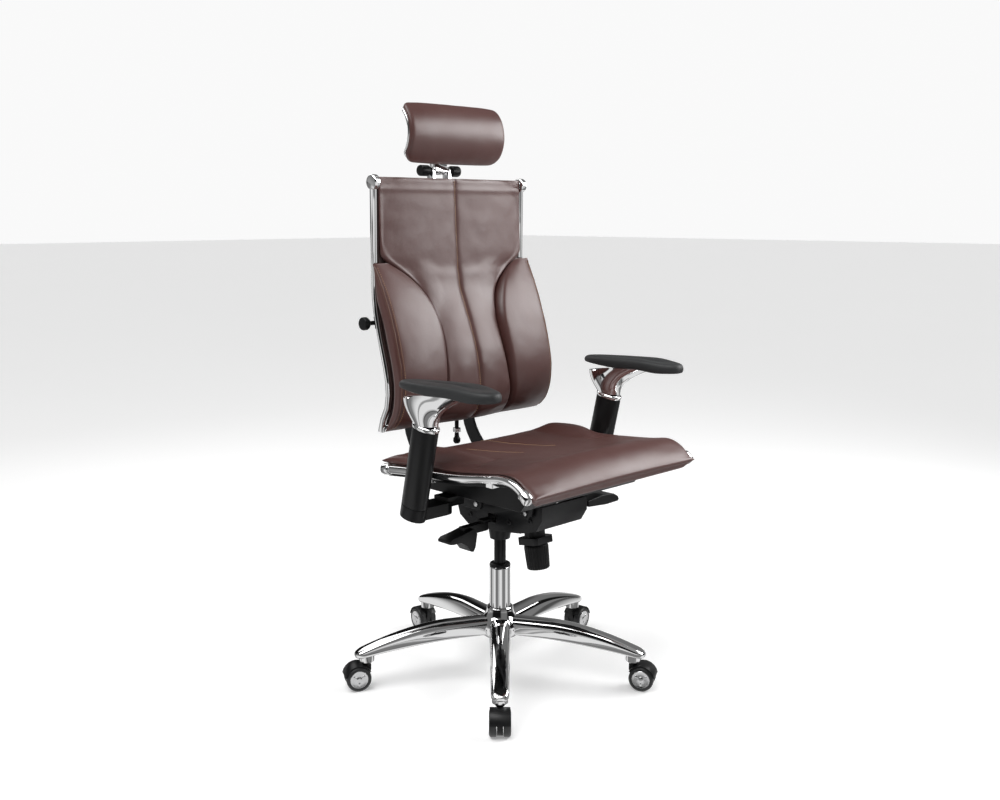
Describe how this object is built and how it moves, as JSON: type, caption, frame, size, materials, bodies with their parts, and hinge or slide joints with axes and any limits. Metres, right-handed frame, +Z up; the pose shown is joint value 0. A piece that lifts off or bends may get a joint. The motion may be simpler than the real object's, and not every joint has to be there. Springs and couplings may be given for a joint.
{
  "type": "swivel office chair",
  "caption": "Swivel office chair: tall leather back in a chrome rail frame, adjustable headrest and arms, tilting seat, gas lift and a polished star base on casters.",
  "frame": {"origin": "on the floor, on the axis of the gas lift column", "axes": "+Z up; -Y is the way the sitter faces; +X is the sitter's left"},
  "size_m": [0.7254, 0.7357, 1.3402],
  "materials": {
    "chrome": "polished",
    "leather": "smooth, semi-matt, fine grain",
    "black_plastic": "satin",
    "black_metal": "satin powder coat",
    "arm_pad": "soft-touch, matt",
    "steel": "bright",
    "caster_wheel": "semi-gloss"
  },
  "bodies": {
    "base": {"star_base": "chrome", "column_tube": "chrome", "column_bush": "black_plastic", "thrust_bearing": "steel"},
    "lift_rod": {"piston_rod": "steel"},
    "mechanism": {"gas_cylinder": "black_metal", "mechanism_housing": "black_metal", "tilt_axle": "steel", "seat_pivot": "steel", "tension_spring": "steel"},
    "valve_pin": {"valve_pin": "steel"},
    "height_lever": {"height_lever": "black_plastic"},
    "tilt_lever": {"tilt_lever": "black_plastic"},
    "tension_knob": {"tension_knob": "black_plastic"},
    "seat": {"seat_carrier": "black_metal", "seat_pan": "black_plastic", "seat_rail_left": "chrome", "seat_rail_right": "chrome", "seat_pad": "leather", "arm_bracket_left": "black_plastic", "arm_bracket_right": "black_plastic", "arm_sleeve_left": "black_plastic", "arm_sleeve_right": "black_plastic"},
    "arm_left": {"arm_slider_left": "chrome"},
    "arm_right": {"arm_slider_right": "chrome"},
    "arm_pad_left": {"arm_pad_left": "arm_pad"},
    "arm_pad_right": {"arm_pad_right": "arm_pad"},
    "back": {"back_bar_left": "black_metal", "back_bar_right": "black_metal", "back_bracket": "black_metal", "back_rail_left": "chrome", "back_rail_right": "chrome", "back_crossbar_top": "chrome", "back_crossbar_bottom": "chrome", "back_panel": "leather", "back_shell": "black_plastic", "back_pad": "leather", "back_wing_left": "leather", "back_wing_right": "leather", "back_strut": "black_plastic", "headrest_bracket": "chrome"},
    "lumbar": {"lumbar_rod": "black_plastic"},
    "headrest_link": {"headrest_link": "chrome"},
    "headrest": {"headrest_shell": "chrome", "headrest_pad": "leather"},
    "caster_1": {"caster_1_fork": "black_plastic"},
    "caster_1_left": {"caster_1_wheel_left": "caster_wheel"},
    "caster_1_right": {"caster_1_wheel_right": "caster_wheel"},
    "caster_2": {"caster_2_fork": "black_plastic"},
    "caster_2_left": {"caster_2_wheel_left": "caster_wheel"},
    "caster_2_right": {"caster_2_wheel_right": "caster_wheel"},
    "caster_3": {"caster_3_fork": "black_plastic"},
    "caster_3_left": {"caster_3_wheel_left": "caster_wheel"},
    "caster_3_right": {"caster_3_wheel_right": "caster_wheel"},
    "caster_4": {"caster_4_fork": "black_plastic"},
    "caster_4_left": {"caster_4_wheel_left": "caster_wheel"},
    "caster_4_right": {"caster_4_wheel_right": "caster_wheel"},
    "caster_5": {"caster_5_fork": "black_plastic"},
    "caster_5_left": {"caster_5_wheel_left": "caster_wheel"},
    "caster_5_right": {"caster_5_wheel_right": "caster_wheel"}
  },
  "joints": [
    {"name": "swivel", "type": "hinge", "parent": "base", "child": "lift_rod", "pos_m": [0, 0, 0.0724], "axis": [0, 0, 1], "continuous": true},
    {"name": "height", "type": "slide", "parent": "lift_rod", "child": "mechanism", "axis": [0, 0, 1], "range_m": [-0.045, 0.055]},
    {"name": "height_lever_lift", "type": "hinge", "parent": "mechanism", "child": "height_lever", "pos_m": [-0.07, -0.05, 0.402], "axis": [0, 1, 0], "range_deg": [0, 4], "stiffness_Nm_per_rad": 3, "springref_deg": -1.15},
    {"name": "valve_press", "type": "slide", "parent": "mechanism", "child": "valve_pin", "axis": [0, 0, 1], "range_m": [-0.0055, 0]},
    {"name": "tilt_lever_turn", "type": "hinge", "parent": "mechanism", "child": "tilt_lever", "pos_m": [0.07, -0.125, 0.412], "axis": [0, 1, 0], "range_deg": [-5, 5]},
    {"name": "tension_turn", "type": "hinge", "parent": "mechanism", "child": "tension_knob", "pos_m": [0, -0.112, 0.372], "axis": [0, 0.1564, 0.9877], "range_deg": [-720, 720]},
    {"name": "back_recline", "type": "hinge", "parent": "mechanism", "child": "back", "pos_m": [0, -0.025, 0.436], "axis": [-1, 0, 0], "range_deg": [0, 20], "stiffness_Nm_per_rad": 60, "springref_deg": -28.65},
    {"name": "seat_tilt", "type": "hinge", "parent": "mechanism", "child": "seat", "pos_m": [0, -0.165, 0.437], "axis": [-1, 0, 0], "range_deg": [0, 8]},
    {"name": "arm_height_left", "type": "slide", "parent": "seat", "child": "arm_left", "axis": [0, -0.2233, 0.9748], "range_m": [0, 0.07]},
    {"name": "arm_height_right", "type": "slide", "parent": "seat", "child": "arm_right", "axis": [0, -0.2233, 0.9748], "range_m": [0, 0.07]},
    {"name": "arm_pad_swivel_left", "type": "hinge", "parent": "arm_left", "child": "arm_pad_left", "pos_m": [0.298, -0.105, 0.7215], "axis": [0, 0.0349, 0.9994], "range_deg": [-20, 20]},
    {"name": "arm_pad_swivel_right", "type": "hinge", "parent": "arm_right", "child": "arm_pad_right", "pos_m": [-0.298, -0.105, 0.7215], "axis": [0, 0.0349, 0.9994], "range_deg": [-20, 20]},
    {"name": "lumbar_turn", "type": "hinge", "parent": "back", "child": "lumbar", "pos_m": [0, 0.188, 0.842], "axis": [1, 0, 0], "range_deg": [-90, 90]},
    {"name": "headrest_swing", "type": "hinge", "parent": "back", "child": "headrest_link", "pos_m": [0, 0.205, 1.187], "axis": [1, 0, 0], "range_deg": [-15, 12]},
    {"name": "headrest_tilt", "type": "hinge", "parent": "headrest_link", "child": "headrest", "pos_m": [0, 0.213, 1.228], "axis": [1, 0, 0], "range_deg": [-15, 15]},
    {"name": "caster_1_swivel", "type": "hinge", "parent": "base", "child": "caster_1", "pos_m": [-0.22901, -0.23061, 0.075], "axis": [0, 0, 1], "continuous": true},
    {"name": "caster_1_roll_left", "type": "hinge", "parent": "caster_1", "child": "caster_1_left", "pos_m": [-0.24451, -0.24622, 0.029], "axis": [-0.7096, 0.7046, 0], "continuous": true},
    {"name": "caster_1_roll_right", "type": "hinge", "parent": "caster_1", "child": "caster_1_right", "pos_m": [-0.24451, -0.24622, 0.029], "axis": [-0.7096, 0.7046, 0], "continuous": true},
    {"name": "caster_2_swivel", "type": "hinge", "parent": "base", "child": "caster_2", "pos_m": [-0.29009, 0.14653, 0.075], "axis": [0, 0, 1], "continuous": true},
    {"name": "caster_2_roll_left", "type": "hinge", "parent": "caster_2", "child": "caster_2_left", "pos_m": [-0.30973, 0.15646, 0.029], "axis": [0.4509, 0.8926, 0], "continuous": true},
    {"name": "caster_2_roll_right", "type": "hinge", "parent": "caster_2", "child": "caster_2_right", "pos_m": [-0.30973, 0.15646, 0.029], "axis": [0.4509, 0.8926, 0], "continuous": true},
    {"name": "caster_3_swivel", "type": "hinge", "parent": "base", "child": "caster_3", "pos_m": [0.04972, 0.32117, 0.075], "axis": [0, 0, 1], "continuous": true},
    {"name": "caster_3_roll_left", "type": "hinge", "parent": "caster_3", "child": "caster_3_left", "pos_m": [0.05309, 0.34292, 0.029], "axis": [0.9882, -0.153, 0], "continuous": true},
    {"name": "caster_3_roll_right", "type": "hinge", "parent": "caster_3", "child": "caster_3_right", "pos_m": [0.05309, 0.34292, 0.029], "axis": [0.9882, -0.153, 0], "continuous": true},
    {"name": "caster_4_swivel", "type": "hinge", "parent": "base", "child": "caster_4", "pos_m": [0.32082, 0.05196, 0.075], "axis": [0, 0, 1], "continuous": true},
    {"name": "caster_4_roll_left", "type": "hinge", "parent": "caster_4", "child": "caster_4_left", "pos_m": [0.34254, 0.05548, 0.029], "axis": [0.1599, -0.9871, 0], "continuous": true},
    {"name": "caster_4_roll_right", "type": "hinge", "parent": "caster_4", "child": "caster_4_right", "pos_m": [0.34254, 0.05548, 0.029], "axis": [0.1599, -0.9871, 0], "continuous": true},
    {"name": "caster_5_swivel", "type": "hinge", "parent": "base", "child": "caster_5", "pos_m": [0.14856, -0.28906, 0.075], "axis": [0, 0, 1], "continuous": true},
    {"name": "caster_5_roll_left", "type": "hinge", "parent": "caster_5", "child": "caster_5_left", "pos_m": [0.15861, -0.30863, 0.029], "axis": [-0.8894, -0.4571, 0], "continuous": true},
    {"name": "caster_5_roll_right", "type": "hinge", "parent": "caster_5", "child": "caster_5_right", "pos_m": [0.15861, -0.30863, 0.029], "axis": [-0.8894, -0.4571, 0], "continuous": true}
  ],
  "couplings": [
    {"joint": "valve_press", "follows": "height_lever_lift", "m_per_rad": -0.07},
    {"joint": "seat_tilt", "follows": "back_recline", "ratio": 0.4}
  ]
}
